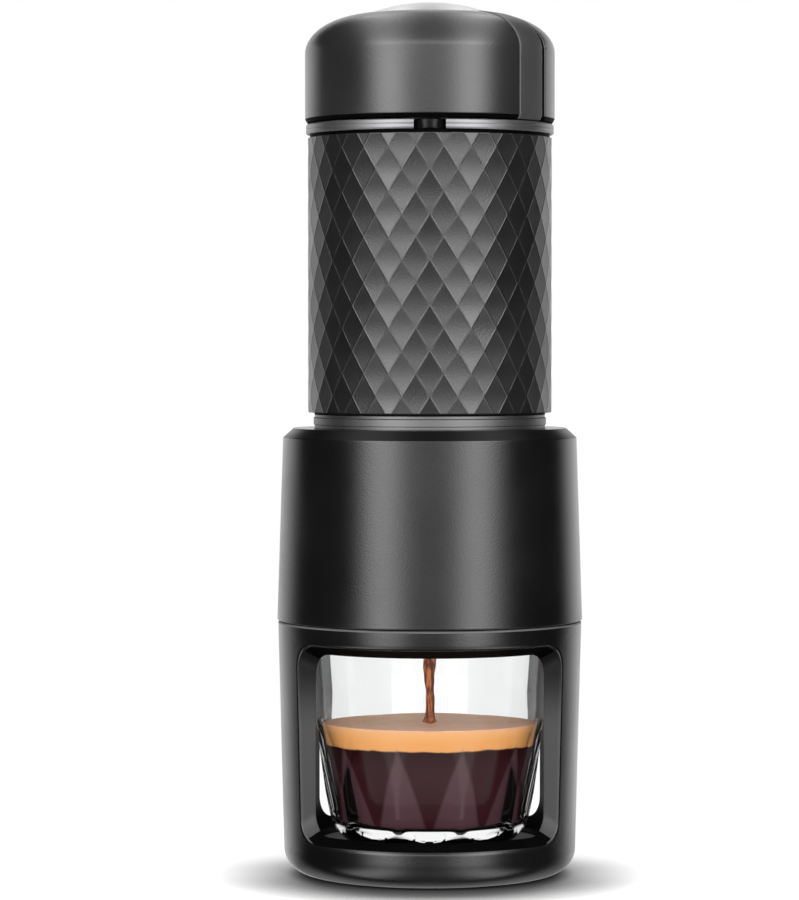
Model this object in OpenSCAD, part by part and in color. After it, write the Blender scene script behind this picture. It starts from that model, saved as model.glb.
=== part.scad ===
// Handheld manual espresso maker: base with cup, brew unit, water tank, pump and knob.
// Every piece is drawn in place, standing on z = 0, with the front facing -Y.

/* [Base] */
// Outer radius of the base just above its rounded foot
base_low_r = 34.9; // [34.5:0.1:35.3]
// Outer radius of the base at the seam under the brew casing
base_high_r = 36.3; // [36:0.1:36.6]
// Height of the seam between base and brew casing
base_top = 60.8; // [60.4:0.1:61]
// Radius of the rounding around the foot
base_foot_round = 6; // [4:0.5:7]
// Radius of the space that the cup stands in
base_cavity_r = 31; // [30.5:0.1:31.2]
// Height of the base's floor
base_floor = 6.5; // [6:0.1:6.8]
// Height that the base stands proud of its rest face, on the rubber ring
foot_gap = 0.5; // [0.3:0.1:0.8]

/* [Window] */
// Angle from the front to either side of a window
window_half_angle = 59.5; // [52:0.5:62]
// Lower edge of the window on the inside of the wall
window_low = 11.3; // [10.5:0.1:13]
// Upper edge of the window on the inside of the wall
window_high = 53.95; // [50:0.05:54.5]
// Rounding of the window's corners, along the wall
window_round = 5.5; // [3:0.5:7]
// How much taller the window is outside than inside, at each edge
window_splay = 2.6; // [1:0.1:3]

/* [Cup] */
// Outer radius of the glass at its rim
cup_rim_r = 28.4; // [27:0.1:28.8]
// Outer radius of the glass where it stands
cup_foot_r = 18; // [16:0.5:19]
// Distance from the axis to the flat facets at the glass bottom
cup_facet_r = 22.6; // [22:0.1:23]
// Height of the glass
cup_h = 48; // [44:0.5:48]
// Thickness of the glass bottom
cup_floor = 5; // [4:0.5:7]
// Number of flat facets around the glass
cup_facets = 10; // [8:1:14]

/* [Brew unit] */
// Outer radius of the brew casing at the seam
casing_low_r = 36.5; // [36.3:0.1:36.8]
// Outer radius of the brew casing below its top chamfer
casing_high_r = 35.1; // [34.8:0.1:35.4]
// Height of the brew casing's top face
casing_top = 106.9; // [106.7:0.1:106.9]
// Radius of the top face inside its chamfer
casing_face_r = 32.55; // [32:0.05:33]
// Bore of the brew chamber where the tank's boss goes in
chamber_mouth_r = 27.45; // [27.4:0.05:27.5]
// Bore of the brew chamber around the filter basket
chamber_r = 25.9; // [25.8:0.1:26.1]
// Height of the ledge that the basket's rim hangs on
chamber_ledge = 89; // [88:0.5:89]
// Height of the spout's tip
spout_tip = 52.5; // [52:0.5:54]

/* [Basket] */
// Outer radius of the basket's wall
basket_r = 25.5; // [25:0.1:25.5]
// Thickness of the basket's sheet
basket_sheet = 0.6; // [0.5:0.1:0.8]
// Height of the basket's bottom
basket_low = 69; // [69:0.5:72]

/* [Tank] */
// Outer radius of the clear tank
tank_r = 27.6; // [27.4:0.1:27.6]
// Thickness of the tank's wall
tank_wall = 1.6; // [1.4:0.1:1.6]
// Height of the tank's open top
tank_top = 176; // [175.8:0.1:176]
// Outer radius of the diamond sleeve at its ridges
sleeve_r = 29.1; // [28.9:0.1:29.3]
// Depth of each diamond's dish below the ridges
diamond_dish = 0.5; // [0.3:0.1:0.8]
// Number of diamonds around the sleeve
diamonds = 28; // [24:2:32]
// Height of one diamond
diamond_h = 10.57; // [9:0.01:12]
// Height of the ridge crossing nearest the top of the sleeve, at the front
diamond_mark = 167.6; // [164:0.1:170]

/* [Pump] */
// Bore of the pump barrel
barrel_bore_r = 6.5; // [6:0.1:7]
// Stroke of the pump
stroke = 22; // [18:1:22]
// Outer radius of the plunger's tube
plunger_r = 9.5; // [9.4:0.1:9.6]
// Radius of the piston rod
rod_r = 3; // [2.5:0.1:3.2]

/* [Knob] */
// Outer radius of the knob
knob_r = 29.8; // [29.6:0.1:30]
// Height of the knob's lower edge while locked down
knob_low = 179.45; // [179.4:0.05:179.6]
// Height where the knob's side turns into its shoulder
knob_side_top = 196; // [195:0.5:197]
// Height of the shoulder above that
knob_shoulder_h = 9.4; // [9:0.1:9.8]
// Width of the shoulder
knob_shoulder_w = 15.8; // [15:0.1:16.5]
// Radius of the metal disc on top
disc_r = 15.9; // [15:0.1:16]
// Height of the metal disc's crown, which is the height of the whole object
crown = 208.2; // [208:0.1:209]
// Angle from the front to the near edge of the knob's side panel
insert_from = 44.6; // [40:0.1:50]
// Angle from the front to the far edge of that panel's slot
insert_to = 65.4; // [60:0.1:70]

/* [Trim ring] */
// Outer radius of the bright ring
trim_r = 29.6; // [29.4:0.1:29.8]
// Width of the black key in the ring's gap
key_w = 7.3; // [6:0.1:8]

/* [Hidden] */

smooth = 96;        // segments of a turned shape
small = 32;         // segments of a small round shape
eps = 0.05;         // overreach of a cutting shape
play = 0.1;         // gap between faces that rest on each other across a joint

// Base
spigot_r = 33.4;
spigot_low = 57;
base_seat_r = spigot_r + 0.3;
mat_top = 7.5;
mat_r = 27;
foot_in_r = 21;
foot_out_r = 27;
foot_groove_top = 2;

// Cup
cup_low = mat_top + play;
cup_rim = cup_low + cup_h;
cup_rim_wall = 1.6;
cup_in_mid_r = 24.2;
cup_in_foot_r = 18.2;

// Brew unit
casing_low = 61;
casing_wall = 2.3;
casing_lip = 2;
plate_top = 63.5;
chamber_floor_low = 64.5;
chamber_floor = 67.5;
chamber_wall = 1.7;
post_r = 3.2;
post_at = 22;
plate_screw_r = 1.2;
plate_screw_head_r = 2.6;
spout_r = 4;
spout_bore_r = 2;

// Basket
basket_rim_r = 27.15;
gasket_top = 91.2;

// Tank
collar_r = 27.8;
boss_r = 27;
boss_low = 93.6;
boss_floor = 96;
flange_low = 107;
tank_low = 110.1;
tank_floor = 1.5;
tank_in_r = tank_r - tank_wall;
sleeve_low = 110.8;
sleeve_top = 176.1;
sleeve_bore_r = tank_r + 0.3;
well_r = 4.9;
well_low = 99.5;

// Pump
valve_low = 112.6;
barrel_low = 117;
piston_low = 118.2;
piston_top = 127;
spring_seat = piston_top + stroke;
barrel_r = 8.8;
guide_in_r = 10;
guide_out_r = 12.2;
guide_top = 163;
socket_top = 169;
sleeve_out_r = 13.5;
socket_r = 15.4;
bush_r = 11.5;
bush_top = 176.4;
wiper_top = 178.3;
lid_step = 176.2;
lid_ledge = 176.8;
lid_top = 179;
lid_plate_r = 26;
key_back = trim_r - key_w;
nozzle_r = 4.4;
nozzle_low = 100;
outlet_seat = 108;
outlet_chamber_low = 101.5;
outlet_chamber_r = 2.3;
outlet_port_r = 1.4;
outlet_ball_r = 1.9;
inlet_at = 5;
inlet_seat = 113.4;
inlet_port_r = 1;
inlet_chamber_r = 1.75;
inlet_ball_r = 1.4;
ball_gap = 0.05;
cage_top = 117.6;
plunger_in_r = 8.3;
plunger_low = spring_seat + 1.5;
plunger_flange = 193;
hub_low = 195.5;
hub_top = 198.5;
hub_r = 13;
hub_spigot_low = 187;
pin_r = 5;
pin_top = 203.1;
hub_screw_at = 10.6;
hub_screw_r = 0.9;
hub_screw_head_r = 1.9;

// Knob
knob_in_r = 27.4;
knob_lip = 1.05;
knob_steps = 14;
web_low = 199;
web_top = 201.7;
recess_low = 203.5;
recess_r = disc_r + 0.2;
recess_ledge_r = 14.5;
crown_curve_r = 55;
insert_depth = 1.4;
insert_proud = 0.15;
insert_slot = 1.2;

// Points of an elliptical arc in a turned profile, from angle a0 to a1.
function arc(at_r, at_z, size_r, size_z, a0, a1, steps) =
    [for (i = [0:steps])
        let (a = a0 + (a1 - a0) * i / steps)
        [at_r + size_r * cos(a), at_z + size_z * sin(a)]];

// Solid turned about the vertical axis from a profile of [radius, height] points.
module turned(profile) {
    rotate_extrude($fn = smooth)
        polygon(profile);
}

module ring(outer, inner, low, high) {
    turned([[inner, low], [outer, low], [outer, high], [inner, high]]);
}

module disc(radius, low, high) {
    translate([0, 0, low])
        cylinder(r = radius, h = high - low, $fn = radius > 5 ? smooth : small);
}

// Copies of a piece spaced evenly round the axis.
module around(count, radius, first = 0) {
    for (i = [0:count - 1])
        rotate([0, 0, first + i * 360 / count])
            translate([radius, 0, 0])
                children();
}

// Ring of round section, such as an O-ring, with its outer and inner radii.
module round_ring(outer, inner, middle) {
    rotate_extrude($fn = smooth)
        translate([(outer + inner) / 2, middle])
            circle(r = (outer - inner) / 2, $fn = small);
}

// ---- Base ----

// Height of a window's edge above or below its flat run, at an angle from its middle.
function corner_rise(angle) =
    let (past = max(0, (abs(angle) - window_half_angle) * PI / 180 * base_cavity_r + window_round))
    window_round - sqrt(max(0, window_round * window_round - past * past));

// Wedge that cuts one window through the wall, taller outside than inside.
module window_cutter() {
    near_r = base_cavity_r - 3;
    far_r = base_high_r + 3;
    slope = window_splay / (base_high_r - base_cavity_r);
    flat_half = window_half_angle - window_round / base_cavity_r * 180 / PI;
    flat_steps = 10;
    corner_steps = 7;
    angles = concat(
        [for (i = [0:corner_steps - 1])
            -window_half_angle + (window_half_angle - flat_half) * (1 - cos(90 * i / corner_steps))],
        [for (i = [0:flat_steps]) -flat_half + 2 * flat_half * i / flat_steps],
        [for (i = [corner_steps - 1:-1:0])
            window_half_angle - (window_half_angle - flat_half) * (1 - cos(90 * i / corner_steps))]
    );
    function side(angle, r, high) =
        let (out = slope * (r - base_cavity_r))
        let (z = high
            ? window_high - corner_rise(angle) + out
            : window_low + corner_rise(angle) - out)
        [r * sin(angle), -r * cos(angle), z];
    points = [for (a = angles)
        each [side(a, near_r, false), side(a, far_r, false), side(a, far_r, true), side(a, near_r, true)]];
    last = len(angles) - 1;
    walls = [for (i = [0:last - 1])
        for (k = [0:3])
            let (a = 4 * i + k)
            let (b = 4 * i + (k + 1) % 4)
            each [[a, b, b + 4], [a, b + 4, a + 4]]];
    ends = [
        [3, 2, 1], [3, 1, 0],
        [4 * last, 4 * last + 1, 4 * last + 2], [4 * last, 4 * last + 2, 4 * last + 3]
    ];
    polyhedron(points = points, faces = concat(walls, ends), convexity = 6);
}

module base_shell() {
    fillet = 2;
    color("#232426")
        difference() {
            turned(concat(
                [[0, foot_gap], [foot_in_r, foot_gap], [foot_in_r, foot_groove_top]],
                [[foot_out_r, foot_groove_top], [foot_out_r, foot_gap]],
                arc(base_low_r - base_foot_round, foot_gap + base_foot_round,
                    base_foot_round, base_foot_round, -90, 0, 8),
                [[base_high_r, base_top], [base_seat_r, base_top], [base_seat_r, spigot_low]],
                [[base_cavity_r, spigot_low]],
                arc(base_cavity_r - fillet, base_floor + fillet, fillet, fillet, 0, -90, 4),
                [[0, base_floor]]
            ));
            window_cutter();
            rotate([0, 0, 180])
                window_cutter();
        }
}

module foot_ring() {
    color("#101010")
        ring(foot_out_r - play, foot_in_r + play, 0, foot_groove_top);
}

module cup_mat() {
    lip_r = 24;
    color("#141414")
        turned([[0, base_floor], [mat_r, base_floor], [mat_r, mat_top + 0.3], [mat_r - 0.8, mat_top + 0.3],
            [lip_r, mat_top], [0, mat_top]]);
}

// ---- Cup ----

module cup() {
    // Outside of the glass before its facets are cut, as shares of its rim radius and height.
    outside = [[0.725, 0.025], [0.796, 0.07], [0.845, 0.146], [0.88, 0.25], [0.937, 0.5], [0.972, 0.75]];
    hollow_under = 0.8;
    rim_round = cup_rim_wall / 2;
    facet_high_r = cup_rim_r - 0.1;
    tilt = atan((facet_high_r - cup_facet_r) / (cup_h - cup_floor));
    color("#dfe8ea", 0.4)
        difference() {
            turned(concat(
                [[0, cup_low + hollow_under], [cup_foot_r - 3, cup_low + hollow_under]],
                [[cup_foot_r - 2, cup_low], [cup_foot_r, cup_low]],
                [for (p = outside) [p[0] * cup_rim_r, cup_low + p[1] * cup_h]],
                arc(cup_rim_r - rim_round, cup_rim - rim_round, rim_round, rim_round, 0, 180, 6),
                [[cup_in_mid_r, cup_low + cup_h * 0.6]],
                arc(cup_in_foot_r - 2, cup_low + cup_floor + 2, 2, 2, 0, -90, 4),
                [[0, cup_low + cup_floor]]
            ));
            for (i = [0:cup_facets - 1])
                rotate([0, 0, (i + 0.5) * 360 / cup_facets])
                    translate([cup_facet_r, 0, cup_low + cup_floor])
                        rotate([0, tilt, 0])
                            translate([0, -20, -20])
                                cube([20, 40, cup_h + 30]);
        }
}

// ---- Brew unit ----

module brew_casing() {
    inner_low_r = casing_low_r - casing_wall;
    inner_high_r = casing_high_r - casing_wall + 0.15;
    chamfer_low = 104.6;
    edge = 0.35;
    color("#232426")
        turned([[inner_low_r, casing_low], [casing_low_r, casing_low], [casing_high_r, chamfer_low],
            [casing_face_r + edge, casing_top - edge * 0.9], [casing_face_r - edge, casing_top],
            [chamber_mouth_r, casing_top], [chamber_mouth_r, casing_top - casing_lip],
            [inner_high_r, casing_top - casing_lip]]);
}

module brew_chamber() {
    top = casing_top - casing_lip;
    outer_r = chamber_r + chamber_wall;
    mouth_out_r = chamber_mouth_r + 1.85;
    color("#b9bcc0")
        difference() {
            union() {
                turned([[0, chamber_floor_low], [outer_r - 1, chamber_floor_low],
                    [outer_r, chamber_floor_low + 1], [outer_r, chamber_ledge - 2.5],
                    [mouth_out_r, chamber_ledge - 1], [mouth_out_r, top - 1.5], [32.6, top - 1.5],
                    [32.6, top], [chamber_mouth_r, top], [chamber_mouth_r, chamber_ledge],
                    [chamber_r, chamber_ledge],
                    [chamber_r, chamber_floor], [0, chamber_floor]]);
                around(3, post_at, 30)
                    disc(post_r, plate_top, chamber_floor_low + 0.5);
            }
            disc(spout_r + eps, chamber_floor_low - 1, chamber_floor + 1);
            around(3, post_at, 30)
                disc(plate_screw_r + eps, plate_top - 1, chamber_floor - 0.8);
        }
}

module lower_plate() {
    hole_r = spout_r + 0.3;
    color("#1c1c1e")
        difference() {
            turned([[hole_r, spigot_low + play], [spigot_r - 0.6, spigot_low + play],
                [spigot_r, spigot_low + play + 0.6], [spigot_r, casing_low], [34, casing_low],
                [33.9, plate_top], [6.8, plate_top], [6.8, plate_top - 1], [hole_r, plate_top - 1]]);
            around(3, post_at, 30) {
                disc(plate_screw_r + eps, spigot_low - 1, plate_top + 1);
                disc(plate_screw_head_r + 0.2, spigot_low - 1, spigot_low + 2.4);
            }
        }
}

// Round-headed screw with a cross recess, head down at its low end.
module screw(shank_r, head_r, low, head_h, high) {
    slot = head_r * 0.3;
    difference() {
        union() {
            disc(head_r, low, low + head_h);
            disc(shank_r, low + head_h - eps, high);
        }
        for (turn = [0, 90])
            rotate([0, 0, turn])
                translate([-head_r * 0.6, -slot / 2, low - eps])
                    cube([head_r * 1.2, slot, head_h * 0.5]);
    }
}

module lower_screws() {
    color("#c9ccd0")
        around(3, post_at, 30)
            screw(plate_screw_r, plate_screw_head_r, spigot_low + 0.8, 1.6, chamber_floor - 1.2);
}

module spout() {
    color("#c9ccd0")
        turned([[spout_bore_r, spout_tip], [spout_r - 1, spout_tip], [spout_r, spout_tip + 1.5],
            [spout_r, chamber_floor], [7.5, chamber_floor], [7.5, chamber_floor + 0.5],
            [spout_bore_r + 1.2, chamber_floor + 0.8], [spout_bore_r, chamber_floor - 0.6]]);
}

module spout_gasket() {
    color("#101010")
        ring(6.7, spout_r + 0.1, plate_top - 1, chamber_floor_low);
}

// ---- Basket ----

module filter_basket() {
    inner_r = basket_r - basket_sheet;
    rim_low = chamber_ledge + play;
    hole_r = 0.45;
    color("#c9ccd0")
        difference() {
            turned([[0, basket_low], [basket_r - 1, basket_low], [basket_r, basket_low + 1],
                [basket_r, rim_low], [basket_rim_r, rim_low], [basket_rim_r, rim_low + 0.9],
                [inner_r, rim_low + 0.9], [inner_r, basket_low + basket_sheet + 0.6],
                [inner_r - 0.6, basket_low + basket_sheet], [0, basket_low + basket_sheet]]);
            disc(hole_r, basket_low - 1, basket_low + 2);
            for (row = [1:3])
                around(6 * row, 6.5 * row)
                    disc(hole_r, basket_low - 1, basket_low + 2);
        }
}

module basket_gasket() {
    color("#101010")
        ring(27.1, 25.1, chamber_ledge + play + 0.9, gasket_top);
}

// ---- Tank ----

module tank_body() {
    color("#3a3d42")
        turned([[5, tank_low], [tank_r, tank_low], [tank_r, tank_top], [tank_in_r, tank_top],
            [tank_in_r, tank_low + tank_floor], [5, tank_low + tank_floor]]);
}

// Closed shape whose side is a lattice of dished diamonds, reaching past both ends of the sleeve.
module diamond_block() {
    columns = 2 * diamonds;
    half_h = diamond_h / 2;
    first = floor((sleeve_low - diamond_mark) / half_h) - 1;
    last = ceil((sleeve_top - diamond_mark) / half_h) + 1;
    rows = last - first;
    function is_ridge(column, row) = (column + row) % 2 == 0;
    function at(column, row) = 1 + (row - first) * columns + (column + columns) % columns;
    low_z = diamond_mark + first * half_h;
    high_z = diamond_mark + last * half_h;
    side_points = [for (row = [first:last])
        for (column = [0:columns - 1])
            let (r = is_ridge(column, row + 1000) ? sleeve_r : sleeve_r - diamond_dish)
            let (angle = column * 360 / columns)
            [r * sin(angle), -r * cos(angle), diamond_mark + row * half_h]];
    points = concat([[0, 0, low_z]], side_points, [[0, 0, high_z]]);
    top_point = len(points) - 1;
    // Each lattice square between two rows and two columns is cut along its ridge-to-ridge diagonal.
    side_faces = [for (row = [first:last - 1])
        for (column = [0:columns - 1])
            let (a = at(column, row))
            let (b = at(column + 1, row))
            let (c = at(column + 1, row + 1))
            let (d = at(column, row + 1))
            each is_ridge(column, row + 1000) ? [[c, b, a], [d, c, a]] : [[d, b, a], [d, c, b]]];
    low_faces = [for (column = [0:columns - 1]) [0, at(column, first), at(column + 1, first)]];
    high_faces = [for (column = [0:columns - 1]) [top_point, at(column + 1, last), at(column, last)]];
    polyhedron(points = points, faces = concat(side_faces, low_faces, high_faces), convexity = 8);
}

module tank_sleeve() {
    color("#1e1f21")
        intersection() {
            diamond_block();
            translate([0, 0, sleeve_low])
                linear_extrude(sleeve_top - sleeve_low)
                    difference() {
                        circle(r = sleeve_r + 3, $fn = 3 * smooth);
                        circle(r = sleeve_bore_r, $fn = 3 * smooth);
                    }
        }
}

module tank_collar() {
    color("#151516")
        difference() {
            turned([[0, boss_floor], [25.2, boss_floor], [25.2, boss_low], [boss_r - 0.4, boss_low],
                [boss_r, boss_low + 0.4], [boss_r, 97.6], [boss_r - 0.8, 97.6], [boss_r - 0.8, 99.2],
                [boss_r, 99.2], [boss_r, flange_low], [collar_r - 0.25, flange_low],
                [collar_r - 0.25, flange_low + 0.6], [collar_r, flange_low + 0.75], [collar_r, 109.3],
                [collar_r - 0.3, 109.5], [collar_r - 0.3, tank_low], [24, tank_low], [24, 98.8], [8, 98.8],
                [8, tank_low], [0, tank_low]]);
            disc(well_r, well_low, tank_low + 1);
            around(6, 3.6)
                disc(0.7, boss_floor - 1, well_low + 1);
            disc(1.25, boss_floor - 1, boss_floor + 2.7);
        }
}

module collar_oring() {
    color("#101010")
        round_ring(boss_r + 0.15, boss_r - 0.75, 98.4);
}

module shower_screen() {
    low = gasket_top + play;
    hole_r = 0.6;
    color("#c9ccd0")
        difference() {
            turned([[0, low], [26.6, low], [26.6, boss_low], [25.4, boss_low], [25.4, low + 0.8],
                [3, low + 0.8], [3, boss_floor], [0, boss_floor]]);
            disc(1.25, low - 1, boss_floor + 1);
            for (row = [1:3])
                around(8 * row, 3 + 5.5 * row)
                    disc(hole_r, low - 1, low + 2);
        }
}

module screen_screw() {
    low = gasket_top + play;
    color("#c9ccd0")
        screw(1.2, 3, low - 1.1, 1.1, boss_floor + 2.5);
}

// ---- Pump head ----

module pump_lid() {
    color("#151516")
        difference() {
            turned([[bush_r, guide_top], [sleeve_out_r, guide_top], [sleeve_out_r, lid_step - 1.4],
                [23.4, lid_step - 1.4], [23.4, 170], [25.3, 170], [25.7, 170.4], [25.7, 171.6],
                [24.9, 171.6], [24.9, 173.2], [25.7, 173.2], [25.7, lid_step], [28.6, lid_step],
                [28.6, lid_ledge],
                [lid_plate_r, lid_ledge], [lid_plate_r, lid_top], [guide_in_r, lid_top],
                [guide_in_r, wiper_top], [bush_r, wiper_top]]);
            translate([-key_w / 2 - 0.1, -lid_plate_r - 1, lid_ledge])
                cube([key_w + 0.2, lid_plate_r + 1 - key_back + 0.1, 4]);
        }
}

module lid_gasket() {
    color("#101010")
        round_ring(tank_in_r - 0.05, tank_in_r - 1.05, 172.4);
}

module trim_ring() {
    bevel = 0.75;
    edge = 0.25;
    middle = 178.05;
    low = lid_ledge;
    high = 179.2;
    color("#d4d7da")
        difference() {
            turned([[lid_plate_r + 0.1, low], [trim_r - bevel, low], [trim_r - edge, low + bevel * 0.6],
                [trim_r, middle - 0.25], [trim_r - 0.15, middle], [trim_r, middle + 0.25],
                [trim_r - edge, high - 0.35], [trim_r - bevel, high], [lid_plate_r + 0.1, high]]);
            translate([-key_w / 2 - 0.1, -trim_r - 2, low - 1])
                cube([key_w + 0.2, 8, 5]);
        }
}

module lock_key() {
    nose_r = key_w / 2;
    nose_at = trim_r - nose_r;
    color("#0d0d0e")
        translate([0, 0, lid_ledge])
            linear_extrude(2.35)
                union() {
                    translate([0, -nose_at])
                        circle(r = nose_r, $fn = small);
                    translate([-nose_r, -nose_at])
                        square([key_w, nose_at - key_back]);
                }
}

module pump_barrel() {
    color("#c3c6ca")
        turned([[barrel_bore_r, barrel_low], [barrel_r, barrel_low], [barrel_r, spring_seat - 4],
            [guide_out_r, spring_seat - 1], [guide_out_r, guide_top - 2], [socket_r, guide_top - 2],
            [socket_r, socket_top], [sleeve_out_r + eps, socket_top], [sleeve_out_r + eps, guide_top],
            [guide_in_r, guide_top], [guide_in_r, spring_seat], [barrel_bore_r, spring_seat]]);
}

module guide_bush() {
    color("#e6e2d6")
        ring(bush_r - 0.02, plunger_r + eps, guide_top, bush_top);
}

module wiper_seal() {
    color("#101010")
        turned([[plunger_r + 0.08, bush_top + 0.9], [plunger_r + 0.5, bush_top + 0.1],
            [bush_r - 0.1, bush_top + 0.1], [bush_r - 0.1, wiper_top], [plunger_r + 0.5, wiper_top]]);
}

module valve_body() {
    color("#33363a")
        difference() {
            turned([[0, nozzle_low], [nozzle_r, nozzle_low], [nozzle_r, 104], [nozzle_r - 0.7, 104],
                [nozzle_r - 0.7, 105.2], [nozzle_r, 105.2], [nozzle_r, valve_low], [10.2, valve_low],
                [10.2, barrel_low + 4], [barrel_r + eps, barrel_low + 4], [barrel_r + eps, barrel_low],
                [0, barrel_low]]);
            disc(outlet_port_r, outlet_seat - 1, barrel_low + 1);
            disc(outlet_chamber_r, outlet_chamber_low, outlet_seat);
            disc(3.35, nozzle_low - 1, outlet_chamber_low);
            translate([inlet_at, 0, 0]) {
                disc(inlet_port_r, valve_low - 1, inlet_seat + 1);
                disc(inlet_chamber_r, inlet_seat, barrel_low + 1);
            }
        }
}

module valve_cage() {
    color("#c9a34e")
        difference() {
            disc(barrel_bore_r - 0.1, barrel_low, cage_top);
            disc(outlet_port_r, barrel_low - 1, cage_top + 1);
            translate([inlet_at, 0, 0])
                around(3, 0.9)
                    disc(0.4, barrel_low - 1, cage_top + 1);
        }
}

module valve_retainer() {
    color("#c9a34e")
        ring(3.3, 1.2, nozzle_low, outlet_chamber_low);
}

module nozzle_oring() {
    color("#101010")
        round_ring(well_r - 0.1, nozzle_r - 0.65, 104.6);
}

module outlet_spring() {
    color("#c9ccd0")
        ring(1.9, 1.5, outlet_chamber_low, outlet_ball_at() - 1.4);
}

// ---- Valve balls ----

// Centre height of a ball that just clears the edge of the port that it closes.
function inlet_ball_at() = inlet_seat + sqrt(pow(inlet_ball_r, 2) - pow(inlet_port_r, 2)) + ball_gap;
function outlet_ball_at() = outlet_seat - sqrt(pow(outlet_ball_r, 2) - pow(outlet_port_r, 2)) - ball_gap;

module inlet_ball() {
    color("#d9dbdd")
        translate([inlet_at, 0, inlet_ball_at()])
            sphere(r = inlet_ball_r, $fn = small);
}

module outlet_ball() {
    color("#d9dbdd")
        translate([0, 0, outlet_ball_at()])
            sphere(r = outlet_ball_r, $fn = small);
}

// ---- Plunger ----

module plunger_tube() {
    color("#c3c6ca")
        difference() {
            turned([[plunger_in_r, plunger_low], [plunger_r - 0.3, plunger_low],
                [plunger_r, plunger_low + 0.3], [plunger_r, plunger_flange], [hub_r, plunger_flange],
                [hub_r, hub_low], [plunger_in_r, hub_low]]);
            around(3, hub_screw_at)
                disc(hub_screw_r + eps, plunger_flange - 1, hub_low + 1);
        }
}

module piston_rod() {
    color("#d9dbdd")
        disc(rod_r, piston_top - 5, hub_low);
}

module piston() {
    groove_r = barrel_bore_r - 1.1;
    body_r = barrel_bore_r - 0.2;
    color("#33363a")
        turned([[0, piston_low], [body_r - 0.4, piston_low], [body_r, piston_low + 0.4], [body_r, 120],
            [groove_r, 120], [groove_r, 121.3], [body_r, 121.3], [body_r, 123.5], [groove_r, 123.5],
            [groove_r, 124.8], [body_r, 124.8], [body_r, piston_top], [rod_r + 0.02, piston_top],
            [rod_r + 0.02, piston_top - 5], [0, piston_top - 5]]);
}

module piston_seals() {
    color("#101010")
        for (middle = [120.65, 124.15])
            round_ring(barrel_bore_r - 0.05, barrel_bore_r - 1.1, middle);
}

module return_spring() {
    color("#c9ccd0")
        ring(7.8, 6.7, spring_seat, hub_spigot_low - play);
}

module knob_hub() {
    color("#33363a")
        difference() {
            turned([[rod_r + 0.02, hub_spigot_low], [plunger_in_r - 0.05, hub_spigot_low],
                [plunger_in_r - 0.05, hub_low], [hub_r, hub_low], [hub_r, hub_top], [pin_r, hub_top],
                [pin_r, 201.8], [pin_r - 0.8, 201.8], [pin_r - 0.8, 202.4], [pin_r, 202.4],
                [pin_r, pin_top - 0.4], [pin_r - 0.4, pin_top], [0, pin_top], [0, hub_low],
                [rod_r + 0.02, hub_low]]);
            around(3, hub_screw_at) {
                disc(hub_screw_r + 0.15, hub_low - 1, hub_top + 1);
                disc(hub_screw_head_r + 0.1, hub_top - 1.6, hub_top + 1);
            }
        }
}

module hub_screws() {
    color("#d9dbdd")
        around(3, hub_screw_at)
            mirror([0, 0, 1])
                screw(hub_screw_r, hub_screw_head_r, -hub_top + 0.1, 1.5, -plunger_flange - 0.3);
}

module knob_clip() {
    color("#d9dbdd")
        difference() {
            ring(7.5, pin_r - 0.75, 201.85, 202.35);
            translate([-2.2, -9, 201])
                cube([4.4, 9, 2]);
        }
}

// ---- Knob ----

// Points along the knob's outside, from its lower edge to the recess, moved inward by a depth.
function knob_outline(depth, steps, low = knob_low, bevel = 0.55) =
    concat(
        [[knob_r - depth - bevel, low], [knob_r - depth, knob_low + knob_lip]],
        [for (p = arc(knob_r - knob_shoulder_w, knob_side_top,
                knob_shoulder_w - depth, knob_shoulder_h - depth, 0, 90, steps))
            if (p[0] > recess_r + 0.2) p]
    );

// Height of the knob's outside at the edge of the recess, at a depth below the surface.
function recess_edge(depth) =
    let (side = (recess_r - knob_r + knob_shoulder_w) / (knob_shoulder_w - depth))
    knob_side_top + (knob_shoulder_h - depth) * sqrt(1 - side * side);

// Panel of the knob's outside between two angles from the front, reaching down to a depth.
// A cutting panel also reaches past the knob's lower edge and into its recess.
module knob_panel(from, to, proud, depth, over = 0) {
    outside = knob_outline(-proud, knob_steps, knob_low - over);
    inside = knob_outline(depth, knob_steps, knob_low - over, 0);
    rotate([0, 0, from - 90])
        rotate_extrude(angle = to - from, $fn = smooth)
            polygon(concat(
                outside,
                [[recess_r - over, recess_edge(-proud)], [recess_r - over, recess_edge(depth)]],
                [for (i = [len(inside) - 1:-1:0]) inside[i]]
            ));
}

module knob_shell() {
    color("#232426")
        difference() {
            turned(concat(
                knob_outline(0, knob_steps),
                [[recess_r, recess_edge(0)], [recess_r, recess_low], [recess_ledge_r, recess_low]],
                [[recess_ledge_r, web_top], [pin_r + eps, web_top], [pin_r + eps, web_low]],
                [[24.5, web_low], [26.6, web_low - 1.5], [knob_in_r, web_low - 4.5], [knob_in_r, knob_low]]
            ));
            for (turn = [0, 180])
                rotate([0, 0, turn])
                    knob_panel(insert_from, insert_to, 1, insert_depth, 1);
        }
}

module knob_inserts() {
    color("#1e1f21")
        for (turn = [0, 180])
            rotate([0, 0, turn])
                knob_panel(insert_from + 0.1, insert_to - insert_slot, insert_proud, insert_depth - eps);
}

module knob_disc() {
    edge = 0.4;
    sheet = 1.2;
    edge_z = crown - crown_curve_r + sqrt(pow(crown_curve_r, 2) - pow(disc_r - edge, 2));
    color("#c9ccd0")
        turned(concat(
            [[disc_r - sheet, recess_low], [disc_r, recess_low], [disc_r, edge_z - edge]],
            [for (i = [0:8])
                let (r = (disc_r - edge) * (1 - i / 8))
                [r, crown - crown_curve_r + sqrt(pow(crown_curve_r, 2) - r * r)]],
            [for (i = [0:8])
                let (r = (disc_r - sheet) * i / 8)
                [r, crown - sheet - crown_curve_r + sqrt(pow(crown_curve_r, 2) - r * r)]]
        ));
}

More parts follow.
